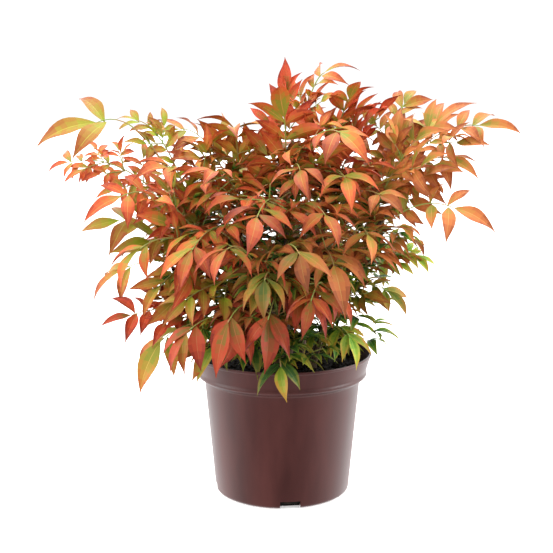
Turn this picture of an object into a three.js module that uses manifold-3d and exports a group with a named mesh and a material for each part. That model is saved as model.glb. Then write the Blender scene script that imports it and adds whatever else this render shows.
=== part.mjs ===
// A heavenly bamboo in a 19 cm nursery pot, in millimetres with +Z up.
// Seven canes stand in the compost, and each carries several fronds. A frond is a thin arching
// stem with leaflets in threes and fives, and it keeps clear of every other frond and cane.
// The origin is the middle of the pot's flat underside, and -Y is the plant's lit side.

import * as THREE from 'three';
import { mergeVertices } from 'three/addons/utils/BufferGeometryUtils.js';
import Module from 'manifold-3d';

const wasm = await Module();
wasm.setup();

// ---- driving sizes --------------------------------------------------------------------------

const GAP = 0.3; // between pieces that touch on the real plant
const SLIVER = 0.01; // edges of a fused frond shorter than this are closed up

const POT = {
  height: 150,
  rimRadius: 95,
  baseRadius: 72,
  shoulderRadius: 83.5, // of the wall, level with the foot of the skirt
  skirtHeight: 24,
  skirtFootRadius: 89.8,
  skirtSlope: 4, // how far the skirt's underside rises outwards
  beadHeight: 4, // thick edge at the foot of the skirt
  wall: 1.3,
  floor: 3,
  cornerRadius: 3.5,
  sides: 36,
};
const SLOT = { count: 4, width: 21, height: 8, depth: 20, turn: 6.5 }; // drain slots; turn in degrees

const COMPOST = { top: 136, flatRadius: 60, edgeDrop: 2, grain: 1.5 }; // grain rises over the top

// lean and rise are where a cane's bend is pulled to, as shares of its way out and of its height
const CANE = { footRadius: 4.2, tipRadius: 2.2, lean: 0.3, rise: 0.65, sides: 6, steps: 4 };
// foot is where a cane leaves the compost, and tip is where it ends
const CANES = [
  { foot: [-28, -12], tip: [-105, -25, 285] },
  { foot: [-12, 18], tip: [-60, 40, 330] },
  { foot: [4, -6], tip: [5, -5, 365] },
  { foot: [20, 16], tip: [62, 45, 345] },
  { foot: [32, -14], tip: [108, -30, 300] },
  { foot: [-4, -34], tip: [-18, -92, 245] },
  { foot: [8, 38], tip: [18, 112, 280] },
];

const STEM = { footRadius: 1.3, tipRadius: 0.6, sides: 3, steps: 4 };
const STALK = { footRadius: 0.8, tipRadius: 0.5, sides: 3 };
// tried in turn until a stem is clear: how far its foot stands off the bark, and its bend to a side
const STAND_OFFS = [0.35, 0.7, 1.05, 1.4, 1.75, 2.1];
const BOWS = [0, 8, -8, 16, -16, 24, -24, 32, -32];

const LEAF = {
  thickness: 0.9,
  root: 0.2, // how far the root goes on past the twig's axis
  stagger: 0.9, // half the step along the twig between the two leaflets of a pair
  // shares of a leaf's length
  arch: 0.07,
  widest: 0.38,
  width: 0.3,
  widthSpread: 0.07,
  // a leaf's length runs from the least up, as a share of its place's usual length
  least: 0.86,
  lengthSpread: 0.3,
  sway: 0.12, // how far a leaf's aim strays
  tilt: [0.5, 0.4, 0.3], // how far its face strays, along x, y and z
  lift: 0.15, // how far its face looks up
};

// Leaflets and side stalks come back along the stem from its tip. Places and lengths are shares
// of the frond's usual leaf length, and angles are in degrees from the stem.
const SPRAY = {
  tipLeaf: 1.05,
  topPairs: [0.15, 0.55, 1.2],
  topPairLeaf: 0.92,
  topPairReach: 0.7, // of the stem's length, past which there is no pair
  firstStalk: 1.4,
  stalkSpacing: 0.85,
  stalkReach: 0.85, // of the stem's length, past which there is no stalk
  stalkLength: 0.7, // times the frond's own reach
  stalkGrowth: 0.25, // each stalk further back is this much longer
  stalkLengthSpread: 0.15,
  stalkRise: 0.12, // how far a stalk strays up or down
  stalkSag: 0.3, // of the frond's droop
  stalkArch: 1, // the rise of a stalk's middle, in millimetres
  endLeaf: 0.95,
  sidePlace: 0.72, // of the side pair, as a share of its stalk
  sideLeaf: 0.82,
  leafAngleSpread: 9,
  sideAngle: 55,
  stalkAngle: 50,
  stalkAngleSpread: 10,
};
const SEED = { first: 11, step: 13 };

const TINTS = {
  lime: '#9aa33a',
  gold: '#bf9038',
  coral: '#c8593a',
  orange: '#c8672f',
  rust: '#9c4a26',
  red: '#a3372a',
  green: '#4f7a2c',
  olive: '#86742f',
};

// Each frond: the cane that carries it and how far up, where its tip ends, how high it arches,
// its usual leaf length, its pairs of side stalks and of leaves at its tip, how far it faces the
// light, its droop, how far its tip's leaves spread in degrees, and the reach of its stalks. What
// a group's fronds share is its usual row.
const PLAIN_FROND = { tops: 2, spread: 52, reach: 1 };
const CROWN = {
  left: {
    usual: { cane: 1, arch: 40, leaf: 42, pairs: 2, face: 2, droop: 0.2 },
    fronds: [
      {
        at: 0.85, tip: [-187, -30, 392], arch: 85, leaf: 62, pairs: 0, tops: 1, spread: 64, face: 3,
        droop: -0.15, tint: 'lime',
      },
      { at: 0.8, tip: [-149, -10, 394], arch: 60, leaf: 26, pairs: 1, droop: 0, tint: 'lime' },
      {
        at: 0.75, tip: [-224, 10, 350], arch: 65, leaf: 28, pairs: 3, spread: 68, face: 3,
        tint: 'coral',
      },
      { at: 0.7, tip: [-159, -60, 321], arch: 55, spread: 60, droop: 0.1, tint: 'coral' },
      { at: 0.65, tip: [-169, -10, 291], leaf: 46, spread: 62, droop: 0, tint: 'lime' },
      { at: 0.5, tip: [-138, -90, 273], arch: 55, leaf: 44, tops: 1, droop: 0.5, tint: 'coral' },
      { at: 0.45, tip: [-163, -25, 243], tops: 1, droop: 0.4, tint: 'gold' },
      { at: 0.35, tip: [-153, -55, 200], arch: 15, leaf: 34, spread: 62, droop: 0, tint: 'red' },
      { at: 0.15, tip: [-121, -80, 179], leaf: 50, pairs: 1, droop: 0.9, tint: 'gold' },
      { cane: 3, at: 0.25, tip: [-94, -92, 223], leaf: 38, pairs: 1, face: 1, tint: 'lime' },
      { cane: 6, at: 0.3, tip: [-90, -105, 196], leaf: 46, tops: 1, face: 1, droop: 0.8, tint: 'red' },
    ],
  },
  upper: {
    usual: { cane: 2, arch: 40, leaf: 44, pairs: 2, face: 1.2, droop: 0.1 },
    fronds: [
      { at: 0.75, tip: [-107, 15, 384], arch: 50, leaf: 40, droop: 0.2, tint: 'gold' },
      { at: 0.65, tip: [-115, -50, 349], leaf: 48, tops: 1, tint: 'orange' },
      {
        cane: 3, at: 0.9, tip: [4, 0, 424], arch: 20, leaf: 32, spread: 30, face: 0.8, droop: 0,
        tint: 'red',
      },
      { cane: 3, at: 0.7, tip: [2, -40, 397], arch: 30, leaf: 46, face: 1, droop: 0, tint: 'coral' },
      { at: 0.8, tip: [-49, -20, 386], arch: 50, leaf: 42, spread: 75, droop: -0.2, tint: 'gold' },
      {
        cane: 3, at: 0.8, tip: [43, 0, 442], arch: 50, leaf: 34, pairs: 1, spread: 60, face: 0.6,
        tint: 'orange',
      },
      { cane: 4, at: 0.8, tip: [67, -30, 415], leaf: 40, pairs: 1, droop: -0.2, tint: 'coral' },
      {
        cane: 4, at: 0.65, tip: [96, -40, 397], leaf: 40, pairs: 1, spread: 35, face: 3,
        droop: -0.4, tint: 'red',
      },
      { cane: 3, at: 0.8, tip: [55, -85, 384], leaf: 46, face: 0.8, droop: 0.3, tint: 'orange' },
    ],
  },
  right: {
    usual: { cane: 5, arch: 40, leaf: 42, pairs: 1, face: 1.5, droop: 0.1 },
    fronds: [
      { at: 0.85, tip: [129, 30, 410], leaf: 34, spread: 40, tint: 'gold' },
      { at: 0.8, tip: [151, -40, 389], leaf: 44, droop: -0.2, tint: 'rust' },
      {
        at: 0.65, tip: [199, -20, 389], arch: 75, leaf: 38, pairs: 3, spread: 60, face: 2,
        droop: 0, tint: 'rust',
      },
      { at: 0.6, tip: [166, -25, 357], arch: 55, leaf: 40, pairs: 2, droop: 0.5, tint: 'rust' },
      {
        at: 0.5, tip: [167, -75, 311], arch: 62, leaf: 42, pairs: 0, tops: 3, spread: 74, face: 3,
        droop: 0, tint: 'rust',
      },
      { at: 0.4, tip: [142, 0, 253], leaf: 27, spread: 60, droop: 0, tint: 'green' },
      { at: 0.25, tip: [107, -40, 222], leaf: 32, droop: 0.3, tint: 'olive' },
    ],
  },
  front: {
    usual: { cane: 6, arch: 40, leaf: 42, pairs: 2, face: 0.6, droop: 0.6 },
    fronds: [
      {
        cane: 3, at: 0.6, tip: [-24, -150, 310], leaf: 40, spread: 72, face: 1.2, droop: 0.3,
        tint: 'coral',
      },
      { at: 0.7, tip: [-52, -145, 280], tops: 1, tint: 'coral' },
      { at: 0.6, tip: [-17, -150, 252], leaf: 37, pairs: 1, face: 1, tint: 'olive' },
      { cane: 4, at: 0.4, tip: [48, -120, 261], leaf: 49, pairs: 1, droop: 0.3, tint: 'rust' },
      {
        cane: 5, at: 0.35, tip: [26, -140, 231], leaf: 38, pairs: 1, spread: 66, face: 0.8,
        tint: 'coral',
      },
      { cane: 3, at: 0.35, tip: [-14, -130, 211], leaf: 46, tops: 1, droop: 0.8, tint: 'red' },
      { at: 0.2, tip: [-2, -107, 160], arch: 20, leaf: 40, pairs: 0, tops: 1, tint: 'green' },
      { cane: 2, at: 0.5, tip: [-86, -115, 275], arch: 55, leaf: 41, pairs: 1, tint: 'coral' },
      { at: 0.45, tip: [-52, -128, 208], leaf: 46, tops: 1, droop: 0.9, tint: 'red' },
    ],
  },
  middle: {
    usual: { cane: 3, arch: 45, leaf: 39, pairs: 2, tops: 1, face: 0.8, droop: 0.1 },
    fronds: [
      { cane: 2, at: 0.6, tip: [-65, -100, 348], tint: 'orange' },
      { at: 0.65, tip: [16, -110, 350], tint: 'orange' },
      { cane: 4, at: 0.7, tip: [59, -100, 342], tint: 'coral' },
      { cane: 4, at: 0.55, tip: [94, -85, 324], pairs: 1, tint: 'rust' },
      { at: 0.5, tip: [39, -130, 310], droop: 0.3, tint: 'orange' },
      { cane: 5, at: 0.55, tip: [81, -100, 288], droop: 0.3, tint: 'rust' },
      { cane: 6, at: 0.85, tip: [15, -150, 276], pairs: 1, droop: 0.4, tint: 'rust' },
    ],
  },
  low: {
    usual: { arch: 30, leaf: 36, pairs: 1, face: 0.8, droop: 0.6, reach: 1.1, tint: 'green' },
    fronds: [
      { cane: 3, at: 0.1, tip: [-67, -75, 174] },
      { cane: 5, at: 0.12, tip: [66, -80, 184] },
    ],
  },
  back: {
    usual: { cane: 7, arch: 55, leaf: 50, pairs: 2, tops: 1, face: -0.4, droop: 0.4 },
    fronds: [
      { at: 0.75, tip: [-25, 180, 335], tint: 'orange' },
      { at: 0.65, tip: [80, 160, 318], pairs: 1, tint: 'coral' },
      { at: 0.4, tip: [20, 185, 245], pairs: 1, droop: 0.6, tint: 'rust' },
      { cane: 2, at: 0.45, tip: [-135, 110, 315], tint: 'gold' },
      { cane: 4, at: 0.6, tip: [130, 115, 350], tint: 'orange' },
      { cane: 4, at: 0.3, tip: [105, 110, 240], droop: 0.6, tint: 'green' },
    ],
  },
};

// ---- vectors, draws and bends ---------------------------------------------------------------

const UP = new THREE.Vector3(0, 0, 1);
const LIGHT = new THREE.Vector3(0, -0.8, 0.6);
const radians = THREE.MathUtils.degToRad;

const vector = (x, y, z) => new THREE.Vector3(x, y, z);
const plus = (a, b, share = 1) => a.clone().addScaledVector(b, share);
const minus = (a, b) => a.clone().sub(b);
const cross = (a, b) => new THREE.Vector3().crossVectors(a, b);

// The same run of numbers for the same seed, by the Park-Miller rule
class Draws {
  constructor(seed) {
    this.state = (seed * 7919) % 2147483647;
    for (let i = 0; i < 3; i += 1) this.next();
  }

  next() {
    this.state = (this.state * 48271) % 2147483647;
    return this.state / 2147483647;
  }

  spread(size) {
    return (this.next() * 2 - 1) * size;
  }
}

// A bend from foot to tip, pulled towards middle and made of straight steps. It lies in one
// plane, square to sideways.
class Bend {
  constructor(foot, middle, tip, steps) {
    this.foot = foot;
    this.middle = middle;
    this.tip = tip;
    this.steps = steps;
    this.sideways = cross(minus(tip, foot), minus(middle, foot)).normalize();
  }

  point(t) {
    const s = 1 - t;
    const start = this.foot.clone().multiplyScalar(s * s);
    return plus(plus(start, this.middle, 2 * s * t), this.tip, t * t);
  }

  ahead(t) {
    const first = minus(this.middle, this.foot).multiplyScalar(1 - t);
    return plus(first, minus(this.tip, this.middle), t).normalize();
  }

  // the straight pieces that a tube along the bend is made of
  pieces(size, owner) {
    return Array.from({ length: this.steps }, (_, i) => ({
      owner,
      foot: this.point(i / this.steps),
      tip: this.point((i + 1) / this.steps),
      radius: THREE.MathUtils.lerp(size.footRadius, size.tipRadius, i / this.steps),
    }));
  }

  get length() {
    let sum = 0;
    for (let i = 0; i < this.steps; i += 1) {
      sum += this.point(i / this.steps).distanceTo(this.point((i + 1) / this.steps));
    }
    return sum;
  }

  // the point on the straight pieces that is a given length back from the tip, and its place t
  back(length) {
    let left = length;
    for (let i = this.steps; i > 0; i -= 1) {
      const near = this.point(i / this.steps);
      const far = this.point((i - 1) / this.steps);
      const size = near.distanceTo(far);
      if (left <= size || i === 1) {
        return { t: (i - left / size) / this.steps, point: plus(near, minus(far, near), left / size) };
      }
      left -= size;
    }
    return null;
  }
}

// ---- clearance ------------------------------------------------------------------------------

// The shortest distance between the axes of two straight pieces
function axisDistance(a, b) {
  const u = minus(a.tip, a.foot);
  const v = minus(b.tip, b.foot);
  const w = minus(a.foot, b.foot);
  const [uu, vv, uv, uw, vw] = [u.dot(u), v.dot(v), u.dot(v), u.dot(w), v.dot(w)];
  const slant = uu * vv - uv * uv;
  let s = slant > 1e-9 ? THREE.MathUtils.clamp((uv * vw - vv * uw) / slant, 0, 1) : 0;
  let t = (uv * s + vw) / vv;
  if (t < 0) {
    t = 0;
    s = THREE.MathUtils.clamp(-uw / uu, 0, 1);
  } else if (t > 1) {
    t = 1;
    s = THREE.MathUtils.clamp((uv - uw) / uu, 0, 1);
  }
  return plus(plus(w, u, s), v, -t).length();
}

const piecesClear = (a, b) => axisDistance(a, b) > a.radius + b.radius + GAP;

// A convex hull with the axes along which another hull may clear it
function hull(owner, points, faces) {
  const centre = vector(0, 0, 0);
  points.forEach((point) => centre.addScaledVector(point, 1 / points.length));
  const edges = [];
  const normals = faces.map(([i, j, k]) => {
    const first = minus(points[j], points[i]).normalize();
    const second = minus(points[k], points[i]).normalize();
    edges.push(first, second);
    return cross(first, second);
  });
  const reach = Math.max(...points.map((point) => point.distanceTo(centre)));
  return { owner, points, centre, reach, normals, edges };
}

function span(points, axis) {
  const places = points.map((point) => point.dot(axis));
  return [Math.min(...places), Math.max(...places)];
}

function clearAlong(a, b, axis) {
  const size = axis.length();
  if (size < 1e-6) return false;
  const [lowA, highA] = span(a.points, axis);
  const [lowB, highB] = span(b.points, axis);
  return Math.max(lowB - highA, lowA - highB) > GAP * size;
}

function hullsClear(a, b) {
  if (a.centre.distanceTo(b.centre) > a.reach + b.reach + GAP) return true;
  if (a.normals.some((axis) => clearAlong(a, b, axis))) return true;
  if (b.normals.some((axis) => clearAlong(a, b, axis))) return true;
  return a.edges.some((edge) => b.edges.some((other) => clearAlong(a, b, cross(edge, other))));
}

// A straight piece as a square bar that holds it
function barHull(piece) {
  const ahead = minus(piece.tip, piece.foot).normalize();
  const aside = cross(ahead, Math.abs(ahead.z) > 0.9 ? vector(1, 0, 0) : UP).normalize();
  const across = cross(ahead, aside);
  const points = [];
  for (const end of [piece.foot, piece.tip]) {
    for (const [i, j] of [[1, 1], [1, -1], [-1, -1], [-1, 1]]) {
      points.push(plus(plus(end, aside, i * piece.radius), across, j * piece.radius));
    }
  }
  return hull(piece.owner, points, [[0, 1, 4], [1, 2, 5], [0, 1, 3]]);
}

// ---- limbs and leaves -----------------------------------------------------------------------

const canes = CANES.map(({ foot, tip }) => {
  const bottom = vector(foot[0], foot[1], COMPOST.top + GAP);
  const top = vector(...tip);
  const middle = bottom.clone().lerp(top, CANE.lean);
  middle.z = THREE.MathUtils.lerp(bottom.z, top.z, CANE.rise);
  return new Bend(bottom, middle, top, CANE.steps);
});

// Where a frond leaves its cane: on the side that the frond rises to, off the bark
function frondFoot(frond, standOff) {
  const cane = canes[frond.cane - 1];
  const axis = cane.point(frond.at);
  const ahead = cane.ahead(frond.at);
  const out = minus(frond.tipPoint, axis).multiplyScalar(0.5).addScaledVector(UP, frond.arch);
  out.addScaledVector(ahead, -out.dot(ahead)).normalize();
  const bark = THREE.MathUtils.lerp(CANE.footRadius, CANE.tipRadius, frond.at);
  return plus(axis, out, bark + STEM.footRadius + standOff);
}

// A stem arches from its foot to its tip. It stands off its cane by the least that clears it,
// and bows to one side where the straight way is taken.
function growStem(frond, taken) {
  const tries = STAND_OFFS.flatMap((standOff) => BOWS.map((bow) => ({ standOff, bow })));
  for (const { standOff, bow } of tries) {
    const foot = frondFoot(frond, standOff);
    const way = minus(frond.tipPoint, foot);
    const middle = plus(foot, way, 0.5).addScaledVector(UP, frond.arch);
    middle.addScaledVector(cross(way, UP).normalize(), bow);
    const bend = new Bend(foot, middle, frond.tipPoint, STEM.steps);
    const pieces = bend.pieces(STEM, frond.name);
    if (pieces.every((piece) => taken.every((other) => piecesClear(piece, other)))) {
      return { bend, pieces };
    }
  }
  throw new Error(`${frond.name} finds no clear way`);
}

function growLeaf(frond, draws, root, ahead, upper, length) {
  const { sway, tilt } = LEAF;
  const drooped = plus(ahead, UP, -frond.droop);
  drooped.add(vector(draws.spread(sway), draws.spread(sway), draws.spread(sway))).normalize();
  const face = plus(upper, UP, LEAF.lift);
  face.add(vector(draws.spread(tilt[0]), draws.spread(tilt[1]), draws.spread(tilt[2])));
  face.addScaledVector(drooped, -face.dot(drooped)).normalize();
  const size = length * (LEAF.least + LEAF.lengthSpread * draws.next());
  const width = size * (LEAF.width + LEAF.widthSpread * draws.next());
  return { root, ahead: drooped, upper: face, length: size, width };
}

// Which way a leaflet or stalk goes that leaves the twig at an angle, to one side of it
function leaning(ahead, aside, side, angle) {
  return ahead.clone().multiplyScalar(Math.cos(angle)).addScaledVector(aside, side * Math.sin(angle));
}

// The way along a stem at t, its upper face, which is turned some way to the light, and its side
function frame(frond, t) {
  const ahead = frond.stem.bend.ahead(t);
  const upper = plus(cross(cross(ahead, UP).normalize(), ahead), LIGHT, frond.face);
  upper.addScaledVector(ahead, -upper.dot(ahead)).normalize();
  return { ahead, upper, aside: cross(ahead, upper) };
}

// The spray at a frond's tip: a leaf at the end of the stem, with pairs behind it
function growTop(frond, draws) {
  const { bend } = frond.stem;
  const { ahead: end, upper: endUpper } = frame(frond, 1);
  const leaves = [
    growLeaf(frond, draws, frond.tipPoint, end, endUpper, frond.leaf * SPRAY.tipLeaf),
  ];
  for (const share of SPRAY.topPairs.slice(0, frond.tops)) {
    if (share * frond.leaf > bend.length * SPRAY.topPairReach) break;
    const { t, point } = bend.back(share * frond.leaf);
    const { ahead, upper, aside } = frame(frond, t);
    for (const side of [-1, 1]) {
      const angle = radians(frond.spread + draws.spread(SPRAY.leafAngleSpread));
      const way = leaning(ahead, aside, side, angle);
      const root = plus(point, ahead, side * LEAF.stagger);
      leaves.push(growLeaf(frond, draws, root, way, upper, frond.leaf * SPRAY.topPairLeaf));
    }
  }
  return { leaves };
}

// The spray on a stalk: a leaf at its end, with a pair behind it
function growSide(frond, draws, { foot, way, upper, length }) {
  const tip = plus(foot, way, length);
  const leaves = [growLeaf(frond, draws, tip, way, upper, frond.leaf * SPRAY.endLeaf)];
  const across = cross(way, upper).normalize();
  for (const hand of [-1, 1]) {
    const angle = radians(SPRAY.sideAngle + draws.spread(SPRAY.stalkAngleSpread));
    const root = plus(foot, way, length * SPRAY.sidePlace + hand * LEAF.stagger);
    const leafWay = leaning(way, across, hand, angle);
    leaves.push(growLeaf(frond, draws, root, leafWay, upper, frond.leaf * SPRAY.sideLeaf));
  }
  return { stalk: { owner: frond.name, foot, tip, radius: STALK.footRadius, upper }, leaves };
}

// A frond's sprays, from its tip back: the one at the tip, then a pair of stalks at each place
function growSprays(frond) {
  const draws = new Draws(frond.seed);
  const { bend } = frond.stem;
  const sprays = [growTop(frond, draws)];
  for (let k = 0; k < frond.pairs; k += 1) {
    const distance = frond.leaf * (SPRAY.firstStalk + SPRAY.stalkSpacing * k);
    if (distance > bend.length * SPRAY.stalkReach) break;
    const { t, point: foot } = bend.back(distance);
    const { ahead, upper, aside } = frame(frond, t);
    for (const side of [-1, 1]) {
      const angle = radians(SPRAY.stalkAngle + draws.spread(SPRAY.stalkAngleSpread));
      const rise = draws.spread(SPRAY.stalkRise) - frond.droop * SPRAY.stalkSag;
      const way = leaning(ahead, aside, side, angle).addScaledVector(UP, rise).normalize();
      const usual = SPRAY.stalkLength * frond.reach + SPRAY.stalkGrowth * k;
      const length = frond.leaf * (usual + draws.spread(SPRAY.stalkLengthSpread));
      sprays.push(growSide(frond, draws, { foot, way, upper, length }));
    }
  }
  return sprays;
}

// The five corners of a leaf: its root and tip, and where it is widest its two edges and its keel
function leafCorners(leaf) {
  const across = cross(leaf.upper, leaf.ahead);
  const rise = 4 * LEAF.arch * LEAF.widest * (1 - LEAF.widest) * leaf.length;
  const waist = plus(plus(leaf.root, leaf.ahead, LEAF.widest * leaf.length), leaf.upper, rise);
  return [
    plus(leaf.root, leaf.ahead, -LEAF.root),
    plus(leaf.root, leaf.ahead, leaf.length),
    plus(waist, across, leaf.width / 2),
    plus(waist, across, -leaf.width / 2),
    plus(waist, leaf.upper, -LEAF.thickness),
  ];
}
const LEAF_FACES = [[0, 3, 2], [1, 2, 3], [0, 2, 4], [0, 4, 3], [1, 4, 2], [1, 3, 4]];
const LEAF_CHORDS = [[0, 1, 2], [0, 1, 3]]; // planes that shut the hollow under the arch

const leafHull = (leaf, owner) => hull(owner, leafCorners(leaf), [...LEAF_FACES, ...LEAF_CHORDS]);

// A leaf stays off the pot's wall and rim and off the compost
function clearOfPot(leaf) {
  const off = 1;
  const checks = 10; // points tried along each edge of the leaf
  const [root, tip, ...waist] = leafCorners(leaf);
  const lines = waist.flatMap((corner) => [[root, corner], [corner, tip]]);
  return lines.every(([from, to]) => {
    for (let i = 0; i <= checks; i += 1) {
      const point = plus(from, minus(to, from), i / checks);
      const radius = Math.hypot(point.x, point.y);
      const inside = radius < POT.rimRadius - 2 * POT.wall - off;
      if (inside && point.z < COMPOST.top + COMPOST.grain + off) return false;
      if (!inside && radius < POT.rimRadius + off && point.z < POT.height + off) return false;
    }
    return true;
  });
}

// ---- solids ---------------------------------------------------------------------------------

function solidOf(geometry) {
  geometry.deleteAttribute('normal');
  geometry.deleteAttribute('uv');
  const merged = mergeVertices(geometry, 1e-4);
  return new wasm.Manifold(new wasm.Mesh({
    numProp: 3,
    vertProperties: new Float32Array(merged.attributes.position.array),
    triVerts: new Uint32Array(merged.index.array),
  }));
}

function geometryOf(solid) {
  const mesh = solid.getMesh();
  const geometry = new THREE.BufferGeometry();
  geometry.setAttribute('position', new THREE.BufferAttribute(mesh.vertProperties, 3));
  geometry.setIndex(new THREE.BufferAttribute(mesh.triVerts, 1));
  geometry.computeVertexNormals();
  return geometry;
}

function movePoints(geometry, place) {
  const { position } = geometry.attributes;
  for (let i = 0; i < position.count; i += 1) {
    const point = place(vector(position.getX(i), position.getY(i), position.getZ(i)));
    position.setXYZ(i, point.x, point.y, point.z);
  }
  return geometry;
}

// A tapered tube along a bend: a cylinder whose rings are moved onto the bend
function tube(bend, size, levelFoot = false) {
  const { footRadius, tipRadius, sides } = size;
  const cylinder = new THREE.CylinderGeometry(tipRadius, footRadius, 1, sides, bend.steps);
  return movePoints(cylinder, ({ x, y, z }) => {
    const t = THREE.MathUtils.clamp(y + 0.5, 0, 1);
    const ahead = levelFoot && t < 0.01 ? UP : bend.ahead(t);
    const across = cross(bend.sideways, ahead);
    return plus(plus(bend.point(t), bend.sideways, x), across, z);
  });
}

function stalkTube(stalk) {
  const middle = stalk.foot.clone().lerp(stalk.tip, 0.5).addScaledVector(stalk.upper, SPRAY.stalkArch);
  return tube(new Bend(stalk.foot, middle, stalk.tip, 1), STALK);
}

function leafSolid(leaf) {
  const geometry = new THREE.BufferGeometry().setFromPoints(leafCorners(leaf));
  return geometry.setIndex(LEAF_FACES.flat());
}

function frondSolid(frond) {
  const parts = [tube(frond.stem.bend, STEM)];
  for (const { stalk, leaves } of frond.sprays) {
    if (stalk) parts.push(stalkTube(stalk));
    parts.push(...leaves.map(leafSolid));
  }
  const whole = parts.map(solidOf).reduce((sum, part) => sum.add(part));
  return whole.simplify(SLIVER);
}

// A turned solid from an outline of [radius, height], which starts and ends on the axis
function turned(outline) {
  const points = outline.map(([radius, height]) => new THREE.Vector2(radius, height));
  return new THREE.LatheGeometry(points, POT.sides).rotateX(Math.PI / 2);
}

function wallRadius(height) {
  const top = POT.height - POT.skirtHeight;
  return THREE.MathUtils.mapLinear(height, POT.cornerRadius, top, POT.baseRadius, POT.shoulderRadius);
}

function potSolid() {
  const { height, rimRadius, wall, floor, cornerRadius: corner, baseRadius, skirtFootRadius } = POT;
  const skirtFoot = height - POT.skirtHeight;
  const shoulder = skirtFoot - POT.skirtSlope;
  const beadTop = skirtFoot + POT.beadHeight;
  const outside = [
    [0, 0],
    [baseRadius - corner, 0],
    [baseRadius - corner * 0.3, corner * 0.3],
    [baseRadius, corner],
    [wallRadius(shoulder), shoulder],
    [skirtFootRadius, skirtFoot],
    [skirtFootRadius + 0.8, beadTop - 1],
    [skirtFootRadius + 0.3, beadTop],
    [rimRadius - 0.8, height - 3],
    [rimRadius, height - 2.5],
    [rimRadius, height],
  ];
  const inside = [
    [rimRadius - wall - 1, height],
    [skirtFootRadius - wall, beadTop],
    [wallRadius(shoulder) - wall, shoulder + wall],
    [wallRadius(corner + floor) - wall, corner + floor],
    [baseRadius - corner, floor],
    [0, floor],
  ];
  const slot = new THREE.BoxGeometry(SLOT.width, SLOT.depth, 2 * SLOT.height);
  let pot = solidOf(turned([...outside, ...inside]));
  for (let i = 0; i < SLOT.count; i += 1) {
    const cutter = slot.clone().translate(0, -baseRadius, 0);
    cutter.rotateZ(radians(SLOT.turn + (360 / SLOT.count) * i));
    pot = pot.subtract(solidOf(cutter));
  }
  return pot;
}

function compostSolid() {
  const { wall, floor, cornerRadius, height, skirtHeight, skirtFootRadius } = POT;
  const skirtFoot = height - skirtHeight;
  const shoulder = skirtFoot - POT.skirtSlope;
  const foot = cornerRadius + floor + 2;
  return solidOf(turned([
    [0, floor + GAP],
    [POT.baseRadius - cornerRadius - 2, floor + GAP],
    [wallRadius(foot) - wall - 2 * GAP, foot],
    [wallRadius(shoulder) - wall - 2 * GAP, shoulder + wall],
    [skirtFootRadius - wall - 3 * GAP, skirtFoot + POT.beadHeight + GAP],
    [skirtFootRadius - wall - 3 * GAP, COMPOST.top - COMPOST.edgeDrop],
    [COMPOST.flatRadius, COMPOST.top],
    [0, COMPOST.top],
  ]));
}

// ---- growth ---------------------------------------------------------------------------------

const fronds = Object.entries(CROWN).flatMap(([place, { usual, fronds: rows }]) => (
  rows.map((row, i) => ({ ...PLAIN_FROND, ...usual, ...row, name: `frond_${place}_${i + 1}` }))
));
fronds.forEach((frond, i) => {
  frond.seed = SEED.first + SEED.step * i;
  frond.tipPoint = vector(...frond.tip);
});

// stems are placed before stalks, and stalks before leaves, so that the larger pieces have first
// call on the space
const limbPieces = canes.flatMap((cane, i) => cane.pieces(CANE, `cane_${i + 1}`));

for (const frond of fronds) {
  frond.stem = growStem(frond, limbPieces);
  limbPieces.push(...frond.stem.pieces);
}

for (const frond of fronds) {
  const others = limbPieces.filter((piece) => piece.owner !== frond.name);
  frond.sprays = growSprays(frond).filter(({ stalk }) => (
    !stalk || others.every((other) => piecesClear(stalk, other))));
  frond.sprays.forEach(({ stalk }) => stalk && limbPieces.push(stalk));
}

const takenHulls = limbPieces.map(barHull);
for (const frond of fronds) {
  const others = takenHulls.filter((other) => other.owner !== frond.name);
  for (const spray of frond.sprays) {
    spray.leaves = spray.leaves.filter((leaf) => {
      const own = leafHull(leaf, frond.name);
      if (!clearOfPot(leaf) || !others.every((other) => hullsClear(own, other))) return false;
      takenHulls.push(own);
      return true;
    });
  }
  frond.sprays = frond.sprays.filter(({ leaves }) => leaves.length > 0);
}

// ---- the plant ------------------------------------------------------------------------------

const FINISHES = {
  pot: { color: '#6b3f3c', roughness: 0.45, metalness: 0 },
  compost: { color: '#1c1511', roughness: 1, metalness: 0 },
  cane: { color: '#4a372a', roughness: 0.8, metalness: 0 },
};

function named(name, geometry, finish) {
  const mesh = new THREE.Mesh(geometry, new THREE.MeshStandardMaterial(finish));
  mesh.name = name;
  return mesh;
}

const plant = new THREE.Group();
plant.add(named('pot', geometryOf(potSolid()), FINISHES.pot));
plant.add(named('compost', geometryOf(compostSolid()), FINISHES.compost));
canes.forEach((cane, i) => {
  plant.add(named(`cane_${i + 1}`, geometryOf(solidOf(tube(cane, CANE, true))), FINISHES.cane));
});
for (const frond of fronds) {
  const finish = { color: TINTS[frond.tint], roughness: 0.55, metalness: 0 };
  plant.add(named(frond.name, geometryOf(frondSolid(frond)), finish));
}

export default plant;
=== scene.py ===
"""A heavenly bamboo in a 19 cm nursery pot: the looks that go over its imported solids.

Sizes are in millimetres until a mesh is made. +Z is up and -Y is the plant's lit side.
"""

import math
from collections import namedtuple

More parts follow.
